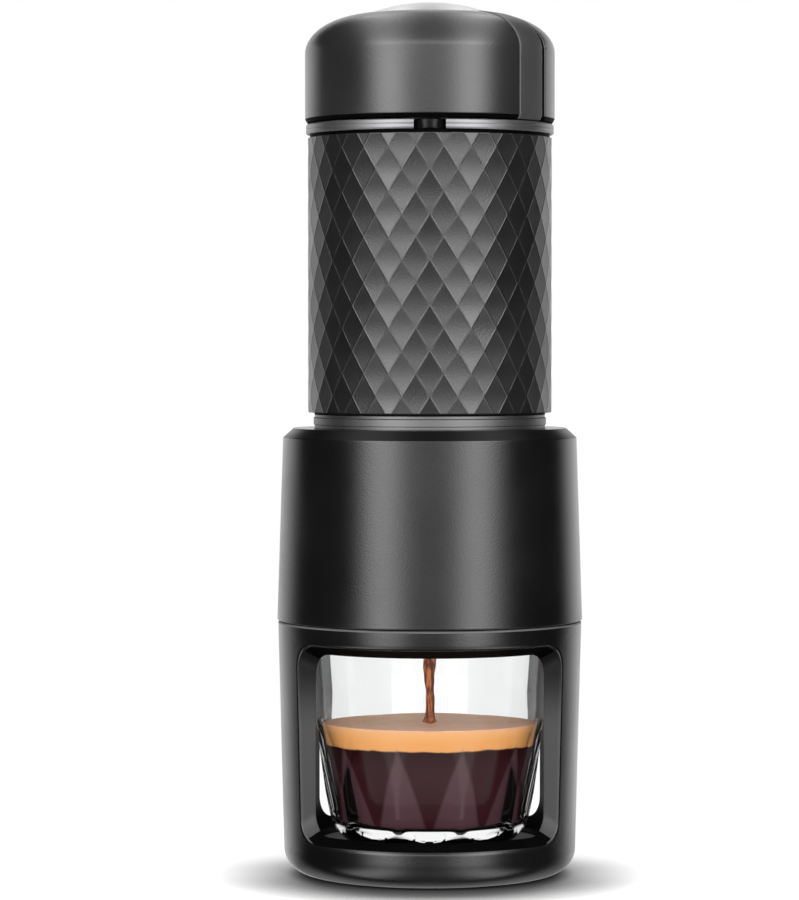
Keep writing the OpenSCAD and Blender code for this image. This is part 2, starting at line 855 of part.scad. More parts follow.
base_shell();
foot_ring();
cup_mat();
cup();
brew_casing();
brew_chamber();
lower_plate();
lower_screws();
spout();
spout_gasket();
filter_basket();
basket_gasket();
tank_body();
tank_sleeve();
tank_collar();
collar_oring();
shower_screen();
screen_screw();
pump_lid();
lid_gasket();
trim_ring();
lock_key();
pump_barrel();
guide_bush();
wiper_seal();
valve_body();
valve_cage();
valve_retainer();
nozzle_oring();
outlet_spring();
inlet_ball();
outlet_ball();
plunger_tube();
piston_rod();
piston();
piston_seals();
return_spring();
knob_hub();
hub_screws();
knob_clip();
knob_shell();
knob_disc();
knob_inserts();
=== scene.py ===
import math

import bmesh
import bpy
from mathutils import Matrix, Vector


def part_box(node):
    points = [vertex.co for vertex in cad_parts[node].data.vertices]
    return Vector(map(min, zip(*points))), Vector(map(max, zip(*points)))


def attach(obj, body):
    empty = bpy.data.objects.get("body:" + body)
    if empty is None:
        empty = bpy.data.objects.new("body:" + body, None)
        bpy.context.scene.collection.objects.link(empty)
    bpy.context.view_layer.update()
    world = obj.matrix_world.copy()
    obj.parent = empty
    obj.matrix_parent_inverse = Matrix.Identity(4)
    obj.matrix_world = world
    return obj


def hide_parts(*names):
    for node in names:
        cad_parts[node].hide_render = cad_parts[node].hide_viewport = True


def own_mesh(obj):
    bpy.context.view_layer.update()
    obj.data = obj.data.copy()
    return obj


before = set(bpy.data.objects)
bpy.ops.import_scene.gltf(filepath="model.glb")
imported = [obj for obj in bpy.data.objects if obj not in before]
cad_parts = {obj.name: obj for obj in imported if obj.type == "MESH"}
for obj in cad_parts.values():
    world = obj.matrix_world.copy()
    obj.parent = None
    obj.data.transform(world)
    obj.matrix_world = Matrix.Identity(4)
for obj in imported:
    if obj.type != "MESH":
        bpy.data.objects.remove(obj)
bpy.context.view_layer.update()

# Lengths up to the studio are in millimetres, and scaled on the way into each mesh and material.
# An azimuth is in degrees from the front, which faces -Y, towards +X.
MM = 0.001


def at(azimuth, r, z):
    """Point in metres at an azimuth, a radius and a height."""
    a = math.radians(azimuth)
    return Vector((r * math.sin(a), -r * math.cos(a), z)) * MM


def azimuth_of(point):
    return math.degrees(math.atan2(point.x, -point.y))


def lerp(a, b, share):
    return a + (b - a) * share


def spaced(a, b, count):
    """Numbers from a to b in so many equal steps, both ends included."""
    return [lerp(a, b, k / count) for k in range(count + 1)]


# -------------------------------- materials

class Nodes:
    """Adds nodes to a tree, each with its inputs set or linked."""

    def __init__(self, tree):
        self.tree = tree

    def add(self, kind, inputs=None, **settings):
        node = self.tree.nodes.new(kind)
        for key, value in settings.items():
            setattr(node, key, value)
        for key, value in (inputs or {}).items():
            if isinstance(value, bpy.types.NodeSocket):
                self.tree.links.new(value, node.inputs[key])
            else:
                node.inputs[key].default_value = value
        return node

    def calc(self, operation, *values):
        return self.add("ShaderNodeMath", dict(enumerate(values)), operation=operation).outputs[0]

    def place(self):
        return self.add("ShaderNodeTexCoord").outputs["Object"]

    def parts(self, vector):
        """X, Y and Z of a vector."""
        node = self.add("ShaderNodeSeparateXYZ", {"Vector": vector})
        return [node.outputs[letter] for letter in "XYZ"]

    def noise(self, scale, detail, place, rough=0.5):
        return self.add("ShaderNodeTexNoise", {"Vector": place, "Scale": scale, "Detail": detail,
                                               "Roughness": rough}).outputs["Fac"]

    def spread(self, source, low, high, from_low=0.3, from_high=0.7, **settings):
        """Number that goes from low to high while the source goes between two values."""
        return self.add("ShaderNodeMapRange", {"Value": source, "From Min": from_low,
                                               "From Max": from_high, "To Min": low,
                                               "To Max": high}, **settings).outputs["Result"]

    def mix(self, share, low, high):
        """Colour between two others. Each is three numbers or a node's output."""
        low, high = (end if isinstance(end, bpy.types.NodeSocket) else (*end, 1)
                     for end in (low, high))
        return self.add("ShaderNodeMix", {"Factor": share, "A": low, "B": high},
                        data_type="RGBA").outputs["Result"]

    def ramp(self, share, stops):
        """Colour by a share, through stops of (share, colour or grey level)."""
        node = self.add("ShaderNodeValToRGB", {"Fac": share})
        elements = node.color_ramp.elements
        while len(elements) < len(stops):
            elements.new(0.5)
        for element, (position, colour) in zip(elements, stops):
            element.position = position
            element.color = (*colour, 1) if isinstance(colour, tuple) else (*[colour] * 3, 1)
        return node.outputs["Color"]


class Surface(Nodes):
    """Node material with a Principled shader."""

    def __init__(self, name, colour, roughness, metallic=0.0, specular=0.5, ior=1.5):
        self.material = bpy.data.materials.new(name)
        self.material.use_nodes = True
        super().__init__(self.material.node_tree)
        self.inputs = self.tree.nodes["Principled BSDF"].inputs
        for key, value in {"Base Color": (*colour, 1), "Roughness": roughness, "Metallic": metallic,
                           "Specular IOR Level": specular, "IOR": ior}.items():
            self.inputs[key].default_value = value

    def feed(self, key, output):
        self.tree.links.new(output, self.inputs[key])

    def relief(self, height, depth, strength=1.0):
        """Bumps from a pattern, so many millimetres deep."""
        node = self.add("ShaderNodeBump", {"Height": height, "Strength": strength,
                                           "Distance": depth * MM})
        self.feed("Normal", node.outputs["Normal"])

    def glow(self, colour, strength):
        """Base colour that also shines faintly: a painted glow that lights a liquid sitting in
        shade.
        """
        self.feed("Base Color", colour)
        self.feed("Emission Color", colour)
        self.inputs["Emission Strength"].default_value = strength


def moulded(name, colour, roughness, grain=900, depth=0.012, specular=0.5, vary=0.05, ior=1.5,
            light=1.35):
    """Painted, moulded or rubbery surface: fine grain, faint cloudiness and uneven sheen."""
    look = Surface(name, colour, roughness, 0, specular, ior)
    place = look.place()
    clouds = look.noise(45, 3, place)
    lighter = [c * light for c in colour]
    look.feed("Base Color", look.mix(look.spread(clouds, 0, 1), colour, lighter))
    look.feed("Roughness", look.spread(clouds, roughness - vary, roughness + vary))
    look.relief(look.noise(grain, 2, place), depth)
    return look.material


def turned_metal(name, colour, roughness, lines=5200, depth=0.0025, vary=0.05):
    """Metal with fine lathe lines that run round the axis."""
    look = Surface(name, colour, roughness, 1)
    place = look.place()
    x, y, z = look.parts(place)
    flat = look.add("ShaderNodeCombineXYZ", {"X": x, "Y": y}).outputs[0]
    radius = look.add("ShaderNodeVectorMath", {0: flat}, operation="LENGTH").outputs["Value"]
    across = look.add("ShaderNodeCombineXYZ", {"X": radius, "Y": z}).outputs[0]
    clouds = look.noise(60, 3, place)
    darker = [c * 0.93 for c in colour]
    look.feed("Base Color", look.mix(look.spread(clouds, 0, 1), darker, colour))
    look.feed("Roughness", look.spread(clouds, roughness - vary, roughness + vary))
    look.relief(look.noise(lines, 2, across), depth)
    return look.material


def clear(name, colour, roughness, ior, ripple=0.004, vary=0.01, specular=0.5):
    """Glass or clear plastic with a faintly uneven surface."""
    look = Surface(name, colour, roughness, 0, specular, ior)
    look.inputs["Transmission Weight"].default_value = 1.0
    clouds = look.noise(90, 2, look.place())
    look.feed("Roughness", look.spread(clouds, max(0, roughness - vary), roughness + vary))
    look.relief(clouds, ripple)
    return look.material


def painted_height_shading(name, dark, light, roughness, dark_at, light_at):
    """Moulded black with painted shade above one height, turning to a painted lit grey below
    another.
    """
    look = Surface(name, light, roughness)
    place = look.place()
    share = look.spread(look.parts(place)[2], 0, 1, dark_at * MM, light_at * MM,
                        interpolation_type="SMOOTHSTEP")
    look.feed("Base Color", look.mix(share, dark, light))
    grain = look.noise(2400, 2, place)
    look.feed("Roughness", look.spread(grain, roughness - 0.04, roughness + 0.04))
    look.relief(grain, 0.01)
    return look.material


CLEAR_IOR = 1.46
SMOKE = (0.2, 0.21, 0.23)
SMOKE_ROUGHNESS = 0.06
# Painted shade: the tank is black and opaque below the first height, and clear above the second.
TANK_SHADE_TO, TANK_CLEAR_FROM = 112.0, 112.4    # heights between which the tank turns clear


def tank_plastic_painted_shade():
    """Smoky clear plastic with painted shade on its foot: black and opaque where it shows in the
    gap.
    """
    look = Surface("tank_plastic_painted_shade", SMOKE, SMOKE_ROUGHNESS, ior=CLEAR_IOR)
    place = look.place()
    share = look.spread(look.parts(place)[2], 0, 1, TANK_SHADE_TO * MM, TANK_CLEAR_FROM * MM)
    look.feed("Base Color", look.mix(share, (0.002, 0.002, 0.002), SMOKE))
    look.feed("Transmission Weight", share)
    sheen = look.spread(share, 0.9, 0.05, 0, 1)
    look.feed("Roughness", look.calc("ADD", sheen, look.spread(look.noise(90, 2, place), 0, 0.02)))
    return look.material


satin_black = moulded("satin_black", (0.0045, 0.0045, 0.0048), 0.225, grain=2600, depth=0.03,
                      specular=1.0, ior=1.6)
knob_black = moulded("knob_black", (0.02, 0.02, 0.0205), 0.26, grain=2200, depth=0.02,
                     specular=1.0, ior=1.66)
sleeve_black = moulded("sleeve_black", (0.007, 0.007, 0.0073), 0.32, grain=2700, depth=0.05,
                       specular=1.0, ior=1.7)
panel_black = moulded("panel_black", (0.05, 0.05, 0.051), 0.42, grain=2000, depth=0.02,
                      specular=1.0, ior=1.6)
# Painted highlight: a lit grey for the base's top rim, in place of the overhead light it would
# mirror.
rim_painted_highlight = moulded("rim_painted_highlight", (0.13, 0.13, 0.132), 0.45, grain=2400, depth=0.01)
# Painted light and shade on the windows' uprights: a lit grey low down, darkening to black towards
# the lintel.
reveal_painted_shading = painted_height_shading("reveal_painted_shading", (0.004, 0.004, 0.004), (0.08, 0.08, 0.082), 0.45,
                      dark_at=50, light_at=36)
gloss_black = moulded("gloss_black", (0.003, 0.003, 0.0033), 0.16, grain=300, depth=0.002,
                      vary=0.03, specular=0.35)
bevel_black = moulded("bevel_black", (0.003, 0.003, 0.0032), 0.3, grain=300, depth=0.002,
                      vary=0.03, specular=0.25)
shade_black = moulded("shade_black", (0.0015, 0.0015, 0.0015), 0.6, specular=0.04)
collar_black = turned_metal("collar_black", (0.36, 0.36, 0.365), 0.47)
dark_plastic = moulded("dark_plastic", (0.02, 0.021, 0.023), 0.42, grain=1600, depth=0.01)
ivory_plastic = moulded("ivory_plastic", (0.72, 0.68, 0.58), 0.4, grain=1200, depth=0.008,
                        light=1.08)
black_rubber = moulded("black_rubber", (0.009, 0.009, 0.009), 0.62, grain=2200, depth=0.02)
smoky_plastic = clear("smoky_plastic", SMOKE, SMOKE_ROUGHNESS, CLEAR_IOR)
cup_glass = clear("cup_glass", (0.985, 0.99, 0.99), 0.006, CLEAR_IOR, vary=0.006, specular=0.2)
bright_metal = turned_metal("bright_metal", (0.52, 0.52, 0.53), 0.43, depth=0.0012, vary=0.03)
disc_metal = turned_metal("disc_metal", (0.86, 0.86, 0.87), 0.33)
steel = turned_metal("steel", (0.66, 0.66, 0.65), 0.26)
aluminium = turned_metal("aluminium", (0.7, 0.71, 0.73), 0.34)
brass = turned_metal("brass", (0.72, 0.5, 0.2), 0.3)

finishes = {
    "satin_black": satin_black, "sleeve_black": sleeve_black, "gloss_black": gloss_black,
    "dark_plastic": dark_plastic, "ivory_plastic": ivory_plastic, "smoky_plastic": smoky_plastic,
    "black_rubber": black_rubber, "cup_glass": cup_glass, "bright_metal": bright_metal,
    "disc_metal": disc_metal, "steel": steel, "aluminium": aluminium, "brass": brass,
}


# -------------------------------- mesh helpers

def new_object(name, data):
    """New object, linked into the scene."""
    made = bpy.data.objects.new(name, data)
    bpy.context.scene.collection.objects.link(made)
    return made


def piece(name, build, finish, body, replaces=(), crease=32, weighted=True):
    """Turns a bmesh into a finished piece that rides on a body."""
    bmesh.ops.remove_doubles(build, verts=build.verts, dist=0.5e-6)
    bmesh.ops.dissolve_degenerate(build, dist=1e-7, edges=build.edges)
    bmesh.ops.recalc_face_normals(build, faces=build.faces)
    mesh = bpy.data.meshes.new(name)
    build.to_mesh(mesh)
    build.free()
    for face in mesh.polygons:
        face.use_smooth = True
    mesh.set_sharp_from_angle(angle=math.radians(crease))
    mesh.materials.append(finish)
    made = new_object(name, mesh)
    if weighted:
        normals = made.modifiers.new("normals", "WEIGHTED_NORMAL")
        normals.keep_sharp = True
    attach(made, body)
    if replaces:
        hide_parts(*replaces)
    return made


def repaint(made, others, choose):
    """Gives faces other finishes. choose(centre in mm, normal) is 0, or a finish's number."""
    for finish in others:
        made.data.materials.append(finish)
    for face in made.data.polygons:
        face.material_index = choose(face.center / MM, face.normal)


def soften(corners, closed=True, steps=5):
    """Corners of (radius, height, rounding) with each rounding drawn as an arc."""
    out = []
    count = len(corners)
    for i, corner in enumerate(corners):
        here = Vector(corner[:2])
        rounding = corner[2] if len(corner) > 2 else 0
        if not rounding or (not closed and i in (0, count - 1)):
            out.append(tuple(here))
            continue
        before = Vector(corners[i - 1][:2]) - here
        after = Vector(corners[(i + 1) % count][:2]) - here
        u, v = before.normalized(), after.normalized()
        half = math.acos(max(-1, min(1, u.dot(v)))) / 2
        reach = min(rounding / math.tan(half), 0.49 * before.length, 0.49 * after.length)
        size = reach * math.tan(half)
        middle = here + (u + v).normalized() * size / math.sin(half)
        first, last = here + u * reach - middle, here + v * reach - middle
        turn = math.atan2(first.x * last.y - first.y * last.x, first.dot(last))
        for a in spaced(0, turn, steps):
            x = first.x * math.cos(a) - first.y * math.sin(a)
            y = first.x * math.sin(a) + first.y * math.cos(a)
            out.append((middle.x + x, middle.y + y))
    return out


def grid(build, rows, closed_rows=False, closed_columns=False):
    """Quads over a grid of points. Each row is a list of points."""
    points = [[build.verts.new(p) for p in row] for row in rows]
    row_count, column_count = len(points), len(points[0])
    for i in range(row_count if closed_rows else row_count - 1):
        for j in range(column_count if closed_columns else column_count - 1):
            a, b = points[i], points[(i + 1) % row_count]
            k = (j + 1) % column_count
            build.faces.new((a[j], a[k], b[k], b[j]))
    return points


def bar(build, rows):
    """Bar with rows along it, closed round and capped at both ends."""
    points = grid(build, rows, closed_rows=True)
    for end in (0, -1):
        build.faces.new([row[end] for row in points])


def lathe(build, profile, columns, closed=False):
    """Rows of a profile turned about the axis, through columns that go all the way round."""
    grid(build, [[at(a, r, z) for a in columns] for r, z in profile], closed_rows=closed,
         closed_columns=True)


def turned(name, profile, finish, body, replaces=(), crease=32, closed=True):
    """Piece turned about the axis from a profile."""
    build = bmesh.new()
    lathe(build, soften(profile, closed), [2 * j for j in range(180)], closed)
    return piece(name, build, finish, body, replaces, crease)


def arc(at_r, at_z, size_r, size_z, start, stop, steps):
    """Points of an elliptical arc in a profile."""
    angles = [math.radians(a) for a in spaced(start, stop, steps)]
    return [(at_r + size_r * math.cos(a), at_z + size_z * math.sin(a)) for a in angles]


# -------------------------------- base with its two windows

BASE_LOW_R, BASE_LOW_Z = 34.9, 6.5      # where the foot's rounding meets the wall
BASE_HIGH_R, BASE_HIGH_Z = 36.3, 60.8
FOOT_Z = 0.5
GROOVE_LOW_R, GROOVE_HIGH_R, GROOVE_Z = 21.0, 27.0, 2.0     # groove that holds the foot ring
CAVITY_R, FLOOR_Z, FLOOR_ROUND = 31.0, 6.5, 2.0
LEDGE_R, LEDGE_Z = 33.7, 57.0           # ledge inside the top, under the brew unit
WINDOW_HALF = 59.5                      # angle from a window's middle to its side
WINDOW_LOW, WINDOW_HIGH, WINDOW_ROUND = 11.3, 53.95, 5.5
SPLAY = 2.6 / (BASE_HIGH_R - CAVITY_R)
OUT_EDGE, IN_EDGE = 0.75, 0.45          # roundings of a window's two edges
PATCH_HALF = 72                         # angle from a window's middle to its patch of wall's end
PATCH_TOP = 59.0                        # height where the patch of outer wall ends
CAVITY_LOW = FLOOR_Z + FLOOR_ROUND


def wall_r(z):
    """Outer radius of the base at a height."""
    return lerp(BASE_LOW_R, BASE_HIGH_R, (z - BASE_LOW_Z) / (BASE_HIGH_Z - BASE_LOW_Z))


def curve(first, corner, last):
    """Points that round a corner."""
    return [first * (1 - t) ** 2 + corner * 2 * t * (1 - t) + last * t ** 2
            for t in spaced(0, 1, 6)]


def window_outline():
    """Places round a window's edge: azimuth and height of the rounding's middle, direction from
    there, splay (down -1, up 1), then azimuth and share of the height on the edge of the patch of
    wall round the window."""
    flat = WINDOW_HALF - math.degrees(WINDOW_ROUND / CAVITY_R)
    low, high = WINDOW_LOW + WINDOW_ROUND, WINDOW_HIGH - WINDOW_ROUND
    keys = [(-flat, low, 225, -1, -PATCH_HALF, 0), (-flat, low, 270, -1, -flat, 0),
            (flat, low, 270, -1, flat, 0), (flat, low, 315, -1, PATCH_HALF, 0),
            (flat, low, 360, -1, PATCH_HALF, 0.12), (flat, high, 360, 1, PATCH_HALF, 0.88),
            (flat, high, 405, 1, PATCH_HALF, 1), (flat, high, 450, 1, flat, 1),
            (-flat, high, 450, 1, -flat, 1), (-flat, high, 495, 1, -PATCH_HALF, 1),
            (-flat, high, 540, 1, -PATCH_HALF, 0.88), (-flat, low, 540, -1, -PATCH_HALF, 0.12),
            (-flat, low, 585, -1, -PATCH_HALF, 0)]
    steps = [7, 50, 7, 7, 16, 7] * 2
    return [tuple(lerp(a, b, k / count) for a, b in zip(start, stop))
            for start, stop, count in zip(keys, keys[1:], steps) for k in range(count)]


def window_section(middle, z_mid, direction, splay, patch_a, patch_share, turn):
    """Points through the wall at a place on a window's edge, from its outer patch to its inner."""
    side, up = math.cos(math.radians(direction)), math.sin(math.radians(direction))
    azimuth = middle + math.degrees(WINDOW_ROUND * side / CAVITY_R)
    z_in = z_mid + WINDOW_ROUND * up
    z_out = z_in
    for _ in range(5):
        # The wall slopes and the window is splayed, so their meeting is found in rounds.
        r_out = wall_r(z_out)
        z_out = z_in + splay * SPLAY * (r_out - CAVITY_R)

    def reveal(r):
        return at(azimuth + turn, r, z_in + splay * SPLAY * (r - CAVITY_R))

    out_a, out_z = azimuth + math.degrees(OUT_EDGE * side / r_out), z_out + OUT_EDGE * up
    in_a, in_z = azimuth + math.degrees(IN_EDGE * side / CAVITY_R), z_in + IN_EDGE * up
    out_patch_z = lerp(BASE_LOW_Z, PATCH_TOP, patch_share)
    in_patch_z = lerp(CAVITY_LOW, LEDGE_Z, patch_share)
    shares = spaced(0, 1, 4)
    outer = [(lerp(patch_a, out_a, t), lerp(out_patch_z, out_z, t)) for t in shares[:-1]]
    inner = [(lerp(in_a, patch_a, t), lerp(in_z, in_patch_z, t)) for t in shares[1:]]
    return ([at(a + turn, wall_r(z), z) for a, z in outer]
            + curve(at(out_a + turn, wall_r(out_z), out_z), reveal(r_out), reveal(r_out - OUT_EDGE))
            + [reveal(lerp(r_out - OUT_EDGE, CAVITY_R + IN_EDGE, 0.5))]
            + curve(reveal(CAVITY_R + IN_EDGE), reveal(CAVITY_R), at(in_a + turn, CAVITY_R, in_z))
            + [at(a + turn, CAVITY_R, z) for a, z in inner])


def base_finish(centre, normal):
    """Number of a face's finish: the windows' uprights 1, with painted light and shade; the rim 2,
    with a painted highlight; their sills and lintels 3, painted black as shade.
    """
    r = centre.xy.length
    outward = abs(normal.xy.dot(centre.xy)) / r
    upright = outward < 0.6 and abs(normal.z) < 0.75
    if CAVITY_R < r < BASE_HIGH_R - 0.5 and upright and centre.z < LEDGE_Z - 1:
        return 1
    if r > BASE_HIGH_R - 0.6 and centre.z > BASE_HIGH_Z - 0.4:
        return 2
    sill = normal.z > 0.75 and centre.z < WINDOW_LOW + 2.7
    lintel = normal.z < -0.75 and centre.z > WINDOW_HIGH - 3.95
    return 3 if r < BASE_LOW_R + 0.3 and (sill or lintel) else 0


def base_shell():
    build = bmesh.new()
    outline = window_outline()
    for turn in (0, 180):
        grid(build, zip(*[window_section(*place, turn) for place in outline]), closed_columns=True)
    posts = spaced(PATCH_HALF, 180 - PATCH_HALF, 12)
    shares = sorted({round(place[5], 9) for place in outline})
    for turn in (0, 180):
        grid(build, [[at(a + turn, wall_r(z), z) for a in posts]
                     for z in (lerp(BASE_LOW_Z, PATCH_TOP, share) for share in shares)])
        grid(build, [[at(a + turn, CAVITY_R, z) for a in posts]
                     for z in (lerp(CAVITY_LOW, LEDGE_Z, share) for share in shares)])
    foot_round = BASE_LOW_Z - FOOT_Z
    foot = soften([(0, FOOT_Z), (GROOVE_LOW_R, FOOT_Z, 0.2), (GROOVE_LOW_R, GROOVE_Z),
                   (GROOVE_HIGH_R, GROOVE_Z), (GROOVE_HIGH_R, FOOT_Z, 0.2),
                   (BASE_LOW_R - foot_round, FOOT_Z)], closed=False)
    foot += arc(BASE_LOW_R - foot_round, BASE_LOW_Z, foot_round, foot_round, -90, 0, 14)[1:]
    rim = soften([(wall_r(PATCH_TOP), PATCH_TOP), (BASE_HIGH_R, BASE_HIGH_Z, 0.45),
                  (LEDGE_R, BASE_HIGH_Z, 0.3), (LEDGE_R, LEDGE_Z), (CAVITY_R, LEDGE_Z)],
                 closed=False)
    floor = arc(CAVITY_R - FLOOR_ROUND, CAVITY_LOW, FLOOR_ROUND, FLOOR_ROUND, 0, -90, 8)
    floor += [(20, FLOOR_Z), (0, FLOOR_Z)]
    under = sorted({place[4] for place in outline if place[5] == 0 and place[4] < PATCH_HALF})
    half_turn = under + posts[:-1]
    for profile in (foot, rim, floor):
        lathe(build, profile, half_turn + [a + 180 for a in half_turn])
    shell = piece("base_body", build, satin_black, "base", ["base_shell"], crease=40)
    repaint(shell, [reveal_painted_shading, rim_painted_highlight, shade_black], base_finish)


base_shell()

# -------------------------------- casing

def brew_casing():
    low, shoulder, top, sheet, bore = 61.0, 104.6, 106.9, 2.0, 27.45
    profile = [(34.2, low), (36.5, low, 0.4), (35.1, shoulder, 0.45), (32.55, top, 0.35),
               (bore, top, 0.2), (bore, top - sheet), (32.95, top - sheet)]
    made = turned("casing", profile, satin_black, "brew_unit", ["brew_casing"],
                  crease=50)

    def finish(centre, normal):
        """The bevel under the top face is polished and darker, 1."""
        return int(0.5 < normal.z < 0.85 and centre.z > shoulder - 0.6)

    repaint(made, [bevel_black], finish)


brew_casing()

# -------------------------------- sleeve of dished diamonds

SLEEVE_LOW, SLEEVE_TOP, SLEEVE_R, SLEEVE_BORE = 110.6, 176.1, 29.1, 27.9
LIP = 0.3                           # rounding of the sleeve's two ends
DIAMONDS, DIAMOND_H, DISH = 28, 10.57, 0.2
MARK = 167.6                        # height of one row of diamonds' middles
RIDGE = 0.1                         # width of a ridge's flank, as a share of half a diamond
TILT, DROOP = 17.0, 3.0             # degrees that a diamond's tips lean, and its middle droops
RIDGE_TILT, RIDGE_IN = 10.0, 14.0   # degrees that a ridge's flanks lean, and turn inwards
LIP_LEAN = 70.0                     # degrees that a lip leans at the sleeve's end


def lip_share(z):
    """How far into a rounded lip a height is, from 0 to 1 at the sleeve's end."""
    return max(0, LIP - (z - SLEEVE_LOW), LIP - (SLEEVE_TOP - z)) / LIP


def limited(value):
    return max(-1, min(1, value))


def facet_lean(along, up):
    """Degrees that a diamond's shading leans up and turns at a place, from its middle to 1 at its
    tips: flat across and hollow upright, between ridges that catch the light from above."""
    crest = max(0, min(1, (abs(along) + abs(up) - 1 + RIDGE) / RIDGE))
    flank, inward = -RIDGE_TILT * limited(4 * up), -RIDGE_IN * limited(4 * along)
    if crest < 0.5:
        return lerp(-TILT * up - DROOP, flank, 2 * crest), inward * 2 * crest
    return lerp(flank, 0, 2 * crest - 1), lerp(inward, along * 180 / DIAMONDS, 2 * crest - 1)


def facet_normals(mesh):
    """Shades each diamond by facet_lean, and the lips as round."""
    normals = []
    for face in mesh.polygons:
        if abs(face.normal.z) > 0.8 or face.center.xy.length < (SLEEVE_BORE + 0.1) * MM:
            normals += [face.normal[:]] * face.loop_total
            continue
        u = azimuth_of(face.center) * DIAMONDS / 360
        v = (face.center.z / MM - MARK) / DIAMOND_H
        p, q = math.floor(u + v) + 0.5, math.floor(u - v) + 0.5
        middle, level = (p + q) / 2, (p - q) / 2
        for index in face.vertices:
            place = mesh.vertices[index].co / MM
            off = azimuth_of(place) * DIAMONDS / 360 - middle
            along = 2 * ((off + DIAMONDS / 2) % DIAMONDS - DIAMONDS / 2)
            up = 2 * ((place.z - MARK) / DIAMOND_H - level)
            lean, turned_in = facet_lean(along, up)
            end_lean = math.copysign(LIP_LEAN, place.z - (SLEEVE_LOW + SLEEVE_TOP) / 2)
            lean = math.radians(lerp(lean, end_lean, lip_share(place.z)))
            azimuth = math.radians(middle * 360 / DIAMONDS + turned_in)
            normals.append((math.cos(lean) * math.sin(azimuth),
                            -math.cos(lean) * math.cos(azimuth), math.sin(lean)))
    mesh.normals_split_custom_set(normals)


def set_radius(vert, r):
    """Moves a vertex level to a radius in metres."""
    vert.co.xy *= r / vert.co.xy.length


def diamond_lattice(build):
    """Hollow diamonds all round, drawn on cells whose edges are the ridges."""
    cuts = [-1, -0.95, -0.9, -0.7, -0.45, -0.2, 0, 0.2, 0.45, 0.7, 0.9, 0.95]
    n = len(cuts)
    made = {}

    def vertex(i, j):
        # i and j count cuts along the two ridge directions.
        a, b = cuts[i % n], cuts[j % n]
        p, q = i // n + (a + 1) / 2, j // n + (b + 1) / 2
        u, v = (p + q) / 2, (p - q) / 2
        key = (round((u % DIAMONDS) * 1e5) % (DIAMONDS * 100000), round(v * 1e5))
        if key not in made:
            r = SLEEVE_R - DISH * (1 - a * a) * (1 - b * b)
            made[key] = build.verts.new(at(u * 360 / DIAMONDS, r, MARK + v * DIAMOND_H))
        return made[key]

    low = math.floor((SLEEVE_LOW - MARK) / DIAMOND_H * 2) - 2
    high = math.ceil((SLEEVE_TOP - MARK) / DIAMOND_H * 2) + 2
    for row in range(low, high):
        # The lower corners of a row of diamonds are that many half heights above the mark.
        for column in range(DIAMONDS):
            across = column + (0.5 if row % 2 else 0)
            first_i, first_j = round((across + row / 2) * n), round((across - row / 2 - 1) * n)
            for i in range(first_i, first_i + n):
                for j in range(first_j, first_j + n):
                    build.faces.new((vertex(i, j), vertex(i + 1, j), vertex(i + 1, j + 1),
                                     vertex(i, j + 1)))


def sleeve():
    """Lattice cut off at both ends, with rounded lips and a plain bore."""
    build = bmesh.new()
    diamond_lattice(build)
    for height, outward in ((SLEEVE_LOW, -1), (SLEEVE_TOP, 1)):
        for inset in (0, LIP / 3, LIP):
            bmesh.ops.bisect_plane(build, geom=build.verts[:] + build.edges[:] + build.faces[:],
                                   dist=1e-7, plane_co=(0, 0, (height - outward * inset) * MM),
                                   plane_no=(0, 0, outward), clear_outer=inset == 0)
    for vert in build.verts:
        drop = (1 - math.sqrt(max(0, 1 - lip_share(vert.co.z / MM) ** 2))) * LIP * MM
        set_radius(vert, vert.co.xy.length - drop)
    rims = []
    for height in (SLEEVE_LOW, SLEEVE_TOP):
        edges = [edge for edge in build.edges if edge.is_boundary
                 and all(abs(vert.co.z / MM - height) < 0.01 for vert in edge.verts)]
        pulled = bmesh.ops.extrude_edge_only(build, edges=edges)["geom"]
        for vert in (part for part in pulled if isinstance(part, bmesh.types.BMVert)):
            set_radius(vert, SLEEVE_BORE * MM)
        rims += [part for part in pulled
                 if isinstance(part, bmesh.types.BMEdge) and part.is_boundary]
    bmesh.ops.bridge_loops(build, edges=rims)
    made = piece("diamond_sleeve", build, sleeve_black, "tank", ["tank_sleeve"],
                 crease=180, weighted=False)
    facet_normals(made.data)


sleeve()

# -------------------------------- bright ring and key

RING_R, RING_BORE, RING_LOW, RING_TOP = 29.6, 26.1, 176.8, 179.2
RING_GROOVE = 178.02
GAP_HALF = 3.75         # half the width of the ring's gap


def trim_ring():
    profile = soften([(RING_BORE, RING_LOW), (RING_R - 0.25, RING_LOW, 0.2),
                      (RING_R, RING_LOW + 0.4, 0.2), (RING_R - 0.02, RING_GROOVE - 0.17, 0.1),
                      (RING_R - 0.12, RING_GROOVE, 0.05), (RING_R - 0.02, RING_GROOVE + 0.18, 0.1),
                      (RING_R - 0.04, RING_TOP - 0.3, 0.2), (RING_R - 0.35, RING_TOP, 0.2),
                      (RING_BORE, RING_TOP)])
    build = bmesh.new()
    rows = []
    for r, z in profile:
        first = math.degrees(math.asin(GAP_HALF / r))
        rows.append([at(a, r, z) for a in spaced(first, 360 - first, 220)])
    bar(build, rows)
    piece("bright_ring", build, bright_metal, "pump_head", ["trim_ring"], crease=45)


def lock_key():
    """Key with a round front. Its outline shrinks towards the bottom and round the top edge."""
    half, nose, back, low, high, edge = 3.65, -25.95, -22.3, 176.8, 179.15, 0.45
    insets = [(0.25, low), (0.1, low + 0.08), (0, low + 0.25)]
    insets += arc(edge, high - edge, -edge, edge, 0, 90, 6)
    rows = []
    for inset, z in insets:
        r = half - inset
        points = [(-r, back + inset)] + arc(0, nose, -r, -r, 0, 180, 40) + [(r, back + inset)]
        rows.append([Vector((x, y, z)) * MM for x, y in points])
    build = bmesh.new()
    points = grid(build, rows, closed_columns=True)
    build.faces.new(points[0])
    build.faces.new(points[-1])
    piece("key", build, gloss_black, "pump_head", ["lock_key"], crease=45)


trim_ring()
lock_key()

# -------------------------------- knob

